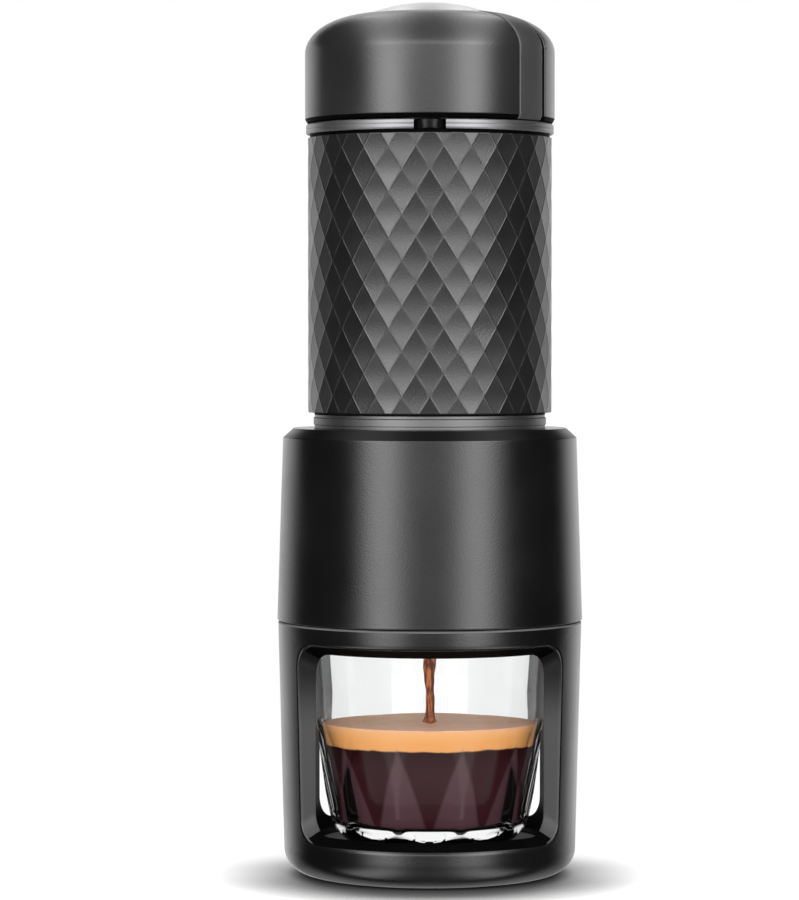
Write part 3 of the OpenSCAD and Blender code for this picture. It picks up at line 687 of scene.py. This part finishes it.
KNOB_R, KNOB_LOW, SIDE_TOP = 29.8, 179.45, 196.0
KNOB_EDGE = [(0.75, 0), (0.55, 0.08), (0.42, 0.24), (0.1, 0.82), (0.03, 1.02), (0, 1.3)]   # in, up
SHOULDER_W, SHOULDER_H = 15.8, 9.4
RECESS_R, DISC_SEAT = 16.1, 203.5                   # recess in the top that holds the disc
SLOT_FROM, SLOT_TO, SLOT_DEPTH = 44.6, 65.4, 1.4    # slot in the side, in degrees and in depth
PANEL_TO = 62.2                                     # azimuth where the slot's panel ends


def knob_side(depth):
    """Profile of the knob's outside, from its lower edge to the recess, sunk by a depth."""
    r, first = KNOB_R - depth, KNOB_LOW + KNOB_EDGE[-1][1]
    lower = [(r - inset, KNOB_LOW + up) for inset, up in KNOB_EDGE]
    wall = [(r, z) for z in spaced(first, SIDE_TOP, 5)[1:-1]]
    last = math.degrees(math.acos((RECESS_R + 0.35 - KNOB_R + SHOULDER_W) / SHOULDER_W))
    shoulder = arc(KNOB_R - SHOULDER_W, SIDE_TOP, SHOULDER_W - depth, SHOULDER_H - depth,
                   0, last, 30)
    r, z = shoulder[-1]
    return lower + wall + shoulder + [(r - 0.15, z - 0.01), (r - 0.25, z - 0.07),
                                      (r - 0.32, z - 0.17)]


KNOB_SIDE, KNOB_SUNK = knob_side(0), knob_side(SLOT_DEPTH)


def knob_profile(share):
    """Profile between the knob's outside at 0 and the slot's bottom at 1."""
    return [(lerp(r0, r1, share), lerp(z0, z1, share))
            for (r0, z0), (r1, z1) in zip(KNOB_SIDE, KNOB_SUNK)]


def knob_finish(centre, normal):
    """Number of a face's finish: the lower edge and the slots beside the panels get painted shade,
    1.
    """
    sunk = centre.xy.length < KNOB_R - 0.25 if centre.z < SIDE_TOP else centre.z > SIDE_TOP
    in_slot = SLOT_FROM < azimuth_of(centre) % 180 < SLOT_TO
    return int(centre.z < KNOB_LOW + 0.95 or in_slot and sunk)


def knob_shell():
    side_r, bolt_r = 27.4, 5.05
    inside = [(KNOB_SIDE[-1][0], DISC_SEAT), (14.5, DISC_SEAT), (14.5, 201.7), (bolt_r, 201.7),
              (bolt_r, 199), (24.5, 199), (26.6, 197.5), (side_r, 194.5), (side_r, KNOB_LOW + 0.2),
              (side_r + 0.2, KNOB_LOW)]
    # degrees past the slot's edge and share of its depth
    edge = [(-0.55, 0), (-0.36, 0.015), (-0.2, 0.05), (-0.08, 0.11), (0, 0.2), (0.004, 1)]
    start, stop = SLOT_TO - edge[0][0], 180 + SLOT_FROM + edge[0][0]
    columns = []
    for turn in (0, 180):
        columns += [(SLOT_FROM + a + turn, share) for a, share in edge]
        columns += [(a + turn, 1) for a in spaced(SLOT_FROM, SLOT_TO, 8)[1:-1]]
        columns += [(SLOT_TO - a + turn, share) for a, share in reversed(edge)]
        columns += [(a + turn, 0) for a in spaced(start, stop, 80)[1:-1]]
    build = bmesh.new()
    grid(build, zip(*[[at(a, r, z) for r, z in knob_profile(share) + inside]
                      for a, share in columns]), closed_rows=True, closed_columns=True)
    shell = piece("knob_body", build, knob_black, "knob", ["knob_shell"], crease=38)
    repaint(shell, [shade_black], knob_finish)


def knob_panels():
    proud = -0.15 / SLOT_DEPTH
    under = knob_profile(0.96)[::-1]
    edge = [(0, 0.3), (0.03, 0.12), (0.1, 0.03), (0.22, -0.04), (0.4, -0.09), (0.6, proud)]
    first, last = SLOT_FROM + 0.12, PANEL_TO
    columns = [(first + a, share) for a, share in edge]
    columns += [(a, proud) for a in spaced(first + edge[-1][0], last - edge[-1][0], 12)[1:-1]]
    columns += [(last - a, share) for a, share in reversed(edge)]
    build = bmesh.new()
    for turn in (0, 180):
        bar(build, zip(*[[at(a + turn, r, z) for r, z in knob_profile(share) + under]
                         for a, share in columns]))
    piece("knob_panels", build, panel_black, "knob", ["knob_inserts"], crease=38)


def knob_disc():
    radius, crown, bend, sheet, edge = 15.9, 208.2, 42.0, 1.2, 0.45

    def dome(r):
        return crown - bend + math.sqrt(bend ** 2 - r * r)

    profile = [(radius - sheet, DISC_SEAT), (radius, DISC_SEAT)]
    profile += arc(radius - edge, dome(radius - edge) - edge, edge, edge, 0, 90, 6)
    profile += [(r, dome(r)) for r in spaced(radius - edge, 0, 24)[1:]]
    profile += [(r, dome(r) - sheet) for r in spaced(0, radius - sheet, 12)]
    turned("top_disc", profile, disc_metal, "knob", ["knob_disc"], crease=50)


knob_shell()
knob_panels()
knob_disc()

# -------------------------------- cup with coffee

CUP_LOW, CUP_H, RIM_R = 7.6, 48.0, 28.4
FACETS = 10
BOTTOM_R, BOTTOM_Z, BOTTOM_ROUND = 18.0, 12.6, 2.0      # flat bottom inside and its rounding
KNEE_R, KNEE_Z = 25.3, 36.4             # where the inside turns steeper, near the crema
MOUTH_R, MOUTH_Z = 26.8, 54.8
COFFEE_TOP, CREMA_LOW = 36.8, 36.5
LIQUID_IOR = 1.34
SPOUT_Z = 52.9
# Painted light: the wedges stand in for light that the glass's facets bend into the coffee.
PAINTED_FACET_WEDGES = 20                             # light and dark wedges in the coffee, all round


def cup_inside(z):
    """Inner radius of the glass at a height above its rounded bottom."""
    if z > KNEE_Z:
        return lerp(KNEE_R, MOUTH_R, (z - KNEE_Z) / (MOUTH_Z - KNEE_Z))
    low = BOTTOM_Z + BOTTOM_ROUND
    return lerp(BOTTOM_R + BOTTOM_ROUND, KNEE_R, (z - low) / (KNEE_Z - low))


def cup_bottom(start, stop):
    """Rounding round the flat bottom inside, between two angles."""
    return arc(BOTTOM_R, BOTTOM_Z + BOTTOM_ROUND, BOTTOM_ROUND, BOTTOM_ROUND, start, stop, 8)


def cup():
    # shares of the rim's radius and of the cup's height
    shares = [(0.725, 0.025), (0.76, 0.045), (0.796, 0.07), (0.825, 0.105), (0.845, 0.146),
              (0.88, 0.25), (0.937, 0.5), (0.979, 0.712), (0.985, 0.76), (0.9965, 0.975)]
    outline = [(18, CUP_LOW), (19.2, CUP_LOW + 0.35)]
    outline += [(a * RIM_R, CUP_LOW + b * CUP_H) for a, b in shares]

    def outside(z):
        for (r0, z0), (r1, z1) in zip(outline, outline[1:]):
            if z <= z1:
                return lerp(r0, r1, (z - z0) / (z1 - z0))

    def facet(azimuth, z):
        """Radius of the flat facets, which the round outline cuts off."""
        off = (azimuth + 180 / FACETS) % (360 / FACETS) - 180 / FACETS
        return lerp(22.6, 27.8, (z - CUP_LOW - 5) / 28) / math.cos(math.radians(off))

    under = [(0, 0.8), (14.6, 0.8), (15.2, 0.65), (16, 0.05), (16.4, 0)]
    ups = [0, 0.15, 0.35, 0.7, 1.2, 1.7, 2.2, 2.8, 3.4, 4.2, 5, 6, 7, 8.5, 10]
    ups += spaced(12, 46.5, 46)
    lip = 0.8
    inside = arc(RIM_R - lip, CUP_LOW + CUP_H - lip, lip, lip, 0, 180, 12)
    inside += [(cup_inside(z), z) for z in spaced(54.4, 15.2, 24)]
    inside += cup_bottom(0, -90) + [(12, BOTTOM_Z), (6, BOTTOM_Z), (0, BOTTOM_Z)]
    columns = [1.5 * j for j in range(240)]
    rows = [[at(a, r, CUP_LOW + up) for a in columns] for r, up in under]
    rows += [[at(a, min(outside(z), facet(a, z)), z) for a in columns]
             for z in (CUP_LOW + up for up in ups)]
    rows += [[at(a, r, z) for a in columns] for r, z in inside]
    build = bmesh.new()
    grid(build, rows, closed_columns=True)
    piece("espresso_cup", build, cup_glass, "cup", ["cup"], crease=22, weighted=False)


def coffee_material():
    """Dark coffee under a band of crema, with painted light: lighter wedges for the glass's facets,
    and a glow.
    """
    look = Surface("coffee", (0.02, 0.006, 0.004), 0.3, 0, 0.15, LIQUID_IOR)
    place = look.place()
    x, y, z = look.parts(place)
    clouds = look.noise(160, 4, place)
    level = look.calc("ADD", z, look.calc("MULTIPLY_ADD", clouds, 1.6 * MM, -0.8 * MM))
    share = look.spread(level, 0, 1, 12.5 * MM, COFFEE_TOP * MM)
    shade = look.ramp(share, [(0, (0.042, 0.011, 0.015)), (0.6, (0.04, 0.011, 0.014)),
                              (0.79, (0.026, 0.005, 0.006)), (0.803, (0.9, 0.42, 0.15)),
                              (0.87, (0.92, 0.42, 0.13)), (1, (0.95, 0.5, 0.22))])
    # The painted wedges of facet light rise from the bottom and close under the crema.
    turn = look.calc("MULTIPLY", look.calc("ARCTAN2", x, y), PAINTED_FACET_WEDGES / (2 * math.pi))
    room = look.calc("MULTIPLY_ADD", share, 1.1, 0.05)
    painted_wedge = look.calc("SUBTRACT", look.calc("PINGPONG", turn, 1.0), room)
    # Painted light: the wedges' lighter colour, and a faint glow that makes the coffee look lit.
    look.glow(look.mix(look.spread(painted_wedge, 0, 0.55, 0, 0.12), shade, (0.13, 0.07, 0.085)), 0.3)
    look.feed("Roughness", look.spread(clouds, 0.08, 0.2))
    return look.material


def crema_material():
    look = Surface("crema", (0.6, 0.3, 0.15), 0.6, 0, 0.1, LIQUID_IOR)
    place = look.place()
    clouds = look.noise(220, 5, place, 0.6)
    # Painted light: a faint glow, so the crema looks lit inside the shaded base.
    look.glow(look.mix(look.spread(clouds, 0, 1), (0.78, 0.42, 0.26), (0.92, 0.62, 0.45)), 0.28)
    bubbles = look.add("ShaderNodeTexVoronoi", {"Vector": place, "Scale": 1500.0})
    look.relief(bubbles.outputs["Distance"], 0.06, 0.6)
    look.feed("Roughness", look.spread(clouds, 0.5, 0.7))
    return look.material


def stream_material():
    look = Surface("poured_coffee", (0.5, 0.17, 0.05), 0.1, 0, 0.3, LIQUID_IOR)
    stretch = look.add("ShaderNodeMapping", {"Vector": look.place(), "Scale": (1, 1, 0.25)})
    swirl = look.noise(900, 3, stretch.outputs[0])
    # Painted light: a faint glow on the stream's streaks.
    look.glow(look.mix(look.spread(swirl, 0, 1, 0.42, 0.6), (0.16, 0.028, 0.003),
                       (0.85, 0.27, 0.055)), 0.12)
    look.feed("Roughness", look.spread(swirl, 0.05, 0.14))
    return look.material


def coffee_and_crema():
    gap = 0.05          # the coffee keeps just off the glass
    liquid = [(0, BOTTOM_Z + gap)] + [(r - gap, z + gap) for r, z in cup_bottom(-90, 0)]
    liquid += [(cup_inside(z) - gap, z) for z in spaced(15.4, COFFEE_TOP - 0.5, 16)]
    edge = cup_inside(CREMA_LOW)
    liquid += [(edge - gap, CREMA_LOW), (edge - 0.4, CREMA_LOW), (0, CREMA_LOW)]
    turned("coffee_in_cup", liquid, coffee_material(), "cup", crease=60, closed=False)
    edge = cup_inside(COFFEE_TOP) - gap
    foam = [(0, CREMA_LOW + 0.02), (edge - 0.5, CREMA_LOW + 0.02), (edge, CREMA_LOW + 0.05),
            (edge, COFFEE_TOP - 0.02), (edge - 0.25, COFFEE_TOP), (edge - 0.8, COFFEE_TOP),
            (8, COFFEE_TOP), (2.2, COFFEE_TOP + 0.02), (1.2, COFFEE_TOP + 0.15),
            (0, COFFEE_TOP + 0.2)]
    turned("crema_on_coffee", foam, crema_material(), "cup", crease=60, closed=False)


def coffee_stream():
    """Uneven, swaying stream that widens where it lands and under the spout."""
    low, high, columns = COFFEE_TOP + 0.1, SPOUT_Z, [15 * j for j in range(24)]

    def radius(azimuth, z):
        up = (z - COFFEE_TOP) / (SPOUT_Z - COFFEE_TOP)
        splash = 0.7 * math.exp(-(z - COFFEE_TOP) / 0.7)
        size = 1.02 + 0.5 * up ** 1.5 + splash + 0.05 * math.sin(z * 1.7)
        return size * (1 + 0.12 * math.cos(math.radians(2 * azimuth + 25 * z)))

    rows = [[at(0, 0, low)] * len(columns)]
    for z in spaced(low, high, 40):
        sway = Vector((0.12 * math.sin(z * 0.5), 0.1 * math.cos(z * 0.4), 0)) * MM
        rows.append([at(a, radius(a, z), z) + sway for a in columns])
    rows.append([at(0, 0, high)] * len(columns))
    build = bmesh.new()
    grid(build, rows, closed_columns=True)
    pour = piece("coffee_stream", build, stream_material(), "brew_unit", crease=60, weighted=False)
    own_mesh(pour)


cup()
coffee_and_crema()
coffee_stream()

# -------------------------------- coil of the outlet valve


def outlet_coil():
    low, high = (corner[2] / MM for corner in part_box("outlet_spring"))
    wire, middle, turns, sides = 0.2, 1.7, 5, 8
    rows = []
    for a in spaced(0, 2 * math.pi, sides)[:-1]:
        out, up = wire * math.cos(a), wire * math.sin(a)
        rows.append([at(15 * k, middle + out, z + up)
                     for k, z in enumerate(spaced(low + wire, high - wire, 24 * turns))])
    build = bmesh.new()
    bar(build, rows)
    coil = piece("outlet_coil", build, steel, "pump_head", ["outlet_spring"], crease=60,
                 weighted=False)
    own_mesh(coil)


outlet_coil()

# -------------------------------- finishes of the CAD nodes that stay

# Painted shade: the pump's lid and the lower plate are painted near-black, and the tank's foot
# black, where they show only in shaded gaps; the collar keeps its turned metal.
seen_in_gaps = {"tank_collar": collar_black, "pump_lid": shade_black, "lower_plate": shade_black,
                "tank_body": tank_plastic_painted_shade()}
for name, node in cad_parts.items():
    if node.hide_render:
        continue
    if name in seen_in_gaps:
        node.material_slots[0].material = seen_in_gaps[name]
        continue
    for slot in node.material_slots:
        for key, finish in finishes.items():
            if slot.material and slot.material.name.startswith(key):
                slot.material = finish
                break

# -------------------------------- camera, floor and light, in metres

STRIP_LEVEL = 2.6       # how bright the studio's two strips look
BOX_SHARE = 0.28        # how bright the box above the camera looks, as a share of the strips
MIRRORED_SHARE = 0.25   # how white the surroundings look that the glass mirrors inside itself
FLOOR_SHARE = 0.15      # how pale the lit floor near the object is, under its painted white
SHADOW_REACH = 0.02     # how far from the object the floor darkens
SIDE_SHADOW, FRONT_SHADOW = 1.9, 8.0    # power of the shadow at the sides, and added in front
SHADOW_FRONT_Y = -0.039                 # where the shadow in front is deepest
WHITE_FROM, WHITE_TO = 0.05, 0.16       # distances between which the floor fades to plain white


def set_camera():
    camera = new_object("camera", bpy.data.cameras.new("camera"))
    bpy.context.scene.camera = camera
    camera.data.sensor_width = 36
    camera.data.lens = 152.2
    camera.location = (0, -0.9105, 0.1289)
    camera.rotation_mode = "XYZ"
    camera.rotation_euler = (math.radians(90 - 1.721), 0, math.radians(0.456))


def emptied(tree):
    """Node maker for a tree, which is emptied first."""
    tree.nodes.clear()
    return Nodes(tree)


def seen_straight(nodes, rays):
    """One for rays from the camera and through glass, less where the glass mirrored them."""
    clean = nodes.spread(rays.outputs["Glossy Depth"], 1.0, MIRRORED_SHARE, 0, 1)
    through = nodes.calc("MULTIPLY", rays.outputs["Is Transmission Ray"], clean)
    return nodes.calc("MAXIMUM", rays.outputs["Is Camera Ray"], through)


def by_angle(stops):
    """Ramp stops for an angle in degrees, given as a share of a half turn."""
    return [(angle / 180, level) for angle, level in stops]


def by_height(stops):
    """Ramp stops for a direction's Z from -1 to 1, given as a share."""
    return [((z + 1) / 2, level) for z, level in stops]


def studio_level(nodes, side, front, z):
    """Brightness of the studio by direction: two tall strips that stand either side of the camera
    and a wide box above it."""
    # Angle over the top, from the camera's horizon to the wall's.
    over = nodes.calc("DIVIDE", nodes.calc("ARCTAN2", nodes.calc("MAXIMUM", z, 0.0), front),
                      math.pi)
    upright = nodes.calc("SQRT", nodes.calc("SUBTRACT", 1.0, nodes.calc("MULTIPLY", side, side)))
    # The strips bend in over the object, so their reflections run straight up its shoulder.
    most = 1.4
    bend = nodes.ramp(over, by_angle((angle, level / most) for angle, level in (
        (0, 1), (1.6, 1.02), (3.2, 1.3), (37, 1.17), (70, 0.87), (100, 0.55), (118, 0.36),
        (138, 0.19), (180, 0.1))))
    bent = nodes.calc("MULTIPLY", nodes.calc("MULTIPLY", bend, most), upright)
    wall = nodes.spread(over, 0, 1, 150 / 180, 166 / 180)
    depth = nodes.add("ShaderNodeMix", {"Factor": wall, "A": bent, "B": front},
                      data_type="FLOAT").outputs["Result"]
    turn = nodes.calc("DIVIDE", nodes.calc("ARCTAN2", side, depth), math.pi)
    strips = nodes.ramp(turn, by_angle((
        (0, 0.16), (10, 0.19), (16.5, 0.34), (23, 0.7), (29, 0.97), (35.5, 1), (42, 0.84),
        (48.5, 0.42), (55, 0.1), (62, 0.015), (72, 0.006), (118, 0.006), (134, 0.27), (150, 0.38),
        (180, 0.4))))
    height = nodes.calc("MULTIPLY_ADD", z, 0.5, 0.5)
    upward = nodes.ramp(height, by_height((
        (-0.95, 0.2), (-0.8, 0.42), (-0.6, 0.42), (-0.4, 0.27), (-0.26, 0.27), (-0.18, 0.46),
        (-0.11, 0.57), (-0.05, 0.73), (0.02, 0.86), (0.2, 0.92), (0.6, 0.7), (0.95, 0.5))))
    box = nodes.ramp(height, by_height(((0.09, 0), (0.18, 1), (0.36, 1), (0.5, 0))))
    azimuth = nodes.calc("DIVIDE", nodes.calc("ARCTAN2", side, front), math.pi)
    across = nodes.ramp(azimuth, by_angle(((0, 1), (46, 1), (58, 0))))
    fill = nodes.calc("MULTIPLY", nodes.calc("MULTIPLY", box, across), BOX_SHARE)
    return nodes.calc("MULTIPLY_ADD", strips, upward, fill), azimuth


def set_world():
    """Soft studio in front of a white wall, painted on the world by direction."""
    world = bpy.data.worlds.new("studio")
    bpy.context.scene.world = world
    world.use_nodes = True
    nodes = emptied(world.node_tree)
    x, y, z = nodes.parts(nodes.add("ShaderNodeTexCoord").outputs["Generated"])
    side, front = nodes.calc("ABSOLUTE", x), nodes.calc("MULTIPLY", y, -1.0)
    level, azimuth = studio_level(nodes, side, front, z)
    # The wall is the background, and what metal mirrors back there shows it as the camera does.
    rays = nodes.add("ShaderNodeLightPath")
    behind = nodes.spread(azimuth, 0, 1, 128 / 180, 150 / 180)
    band = nodes.calc("MULTIPLY", nodes.spread(z, 0, 1, 0.3, 0.12),
                      nodes.spread(z, 0, 1, -0.4, -0.2))
    mirrored = nodes.calc("MULTIPLY", rays.outputs["Is Glossy Ray"],
                          nodes.calc("MULTIPLY", behind, band))
    shown = nodes.calc("MAXIMUM", seen_straight(nodes, rays), mirrored)
    studio = nodes.add("ShaderNodeBackground", {"Color": level, "Strength": STRIP_LEVEL})
    white = nodes.add("ShaderNodeBackground", {"Color": (1, 1, 1, 1)})
    both = nodes.add("ShaderNodeMixShader", {0: shown, 1: studio.outputs[0], 2: white.outputs[0]})
    nodes.add("ShaderNodeOutputWorld", {"Surface": both.outputs[0]})


def floor_material():
    """Pale near the object, with its contact shadow, and plain white away from it."""
    made = bpy.data.materials.new("pale_floor")
    made.use_nodes = True
    nodes = emptied(made.node_tree)
    place = nodes.place()
    seen = seen_straight(nodes, nodes.add("ShaderNodeLightPath"))
    open_sky = nodes.add("ShaderNodeAmbientOcclusion", {"Distance": SHADOW_REACH}, samples=16)
    ahead = nodes.spread(nodes.parts(place)[1], 0, 1, 0, SHADOW_FRONT_Y)
    depth = nodes.calc("MULTIPLY_ADD", nodes.calc("MULTIPLY", ahead, ahead), FRONT_SHADOW,
                       SIDE_SHADOW)
    shadow = nodes.calc("POWER", open_sky.outputs["AO"], depth)
    lit = nodes.add("ShaderNodeBsdfDiffuse", {"Color": (FLOOR_SHARE, FLOOR_SHARE, FLOOR_SHARE, 1)})
    painted = nodes.add("ShaderNodeEmission", {"Strength": nodes.calc("MULTIPLY", seen, shadow)})
    near = nodes.add("ShaderNodeAddShader", {0: lit.outputs[0], 1: painted.outputs[0]})
    reach = nodes.add("ShaderNodeVectorMath", {0: place}, operation="LENGTH").outputs["Value"]
    far = nodes.spread(reach, 0, 1, WHITE_FROM, WHITE_TO, interpolation_type="SMOOTHSTEP")
    glow = nodes.calc("MULTIPLY_ADD", seen, 0.5, 0.5)
    white = nodes.add("ShaderNodeEmission", {"Strength": glow})
    blend = nodes.add("ShaderNodeMixShader", {0: far, 1: near.outputs[0], 2: white.outputs[0]})
    nodes.add("ShaderNodeOutputMaterial", {"Surface": blend.outputs[0]})
    return made


def set_floor():
    """Floor that takes the object's shadow and isn't mirrored in it."""
    build = bmesh.new()
    steps = spaced(-4, 4, 8)
    grid(build, [[Vector((x, y, 0)) for x in steps] for y in steps])
    mesh = bpy.data.meshes.new("floor")
    build.to_mesh(mesh)
    build.free()
    mesh.materials.append(floor_material())
    floor = new_object("floor", mesh)
    floor.visible_glossy = False
    floor.visible_shadow = False


def set_lamp():
    """Soft box in front of the object and above it, which isn't mirrored either."""
    width, tall, brightness = 1.5, 0.8, 1.9
    light = bpy.data.lights.new("front_box", "AREA")
    light.shape = "RECTANGLE"
    light.size, light.size_y = width, tall
    light.energy = brightness * math.pi * width * tall
    lamp = new_object("front_box", light)
    lamp.location = (0, -1.2, 0.42)
    lamp.rotation_mode = "QUATERNION"
    lamp.rotation_quaternion = (lamp.location - Vector((0, 0, 0.1))).to_track_quat("Z", "Y")
    lamp.visible_glossy = False


set_camera()
set_world()
set_floor()
set_lamp()

bpy.context.scene.view_settings.view_transform = "Standard"
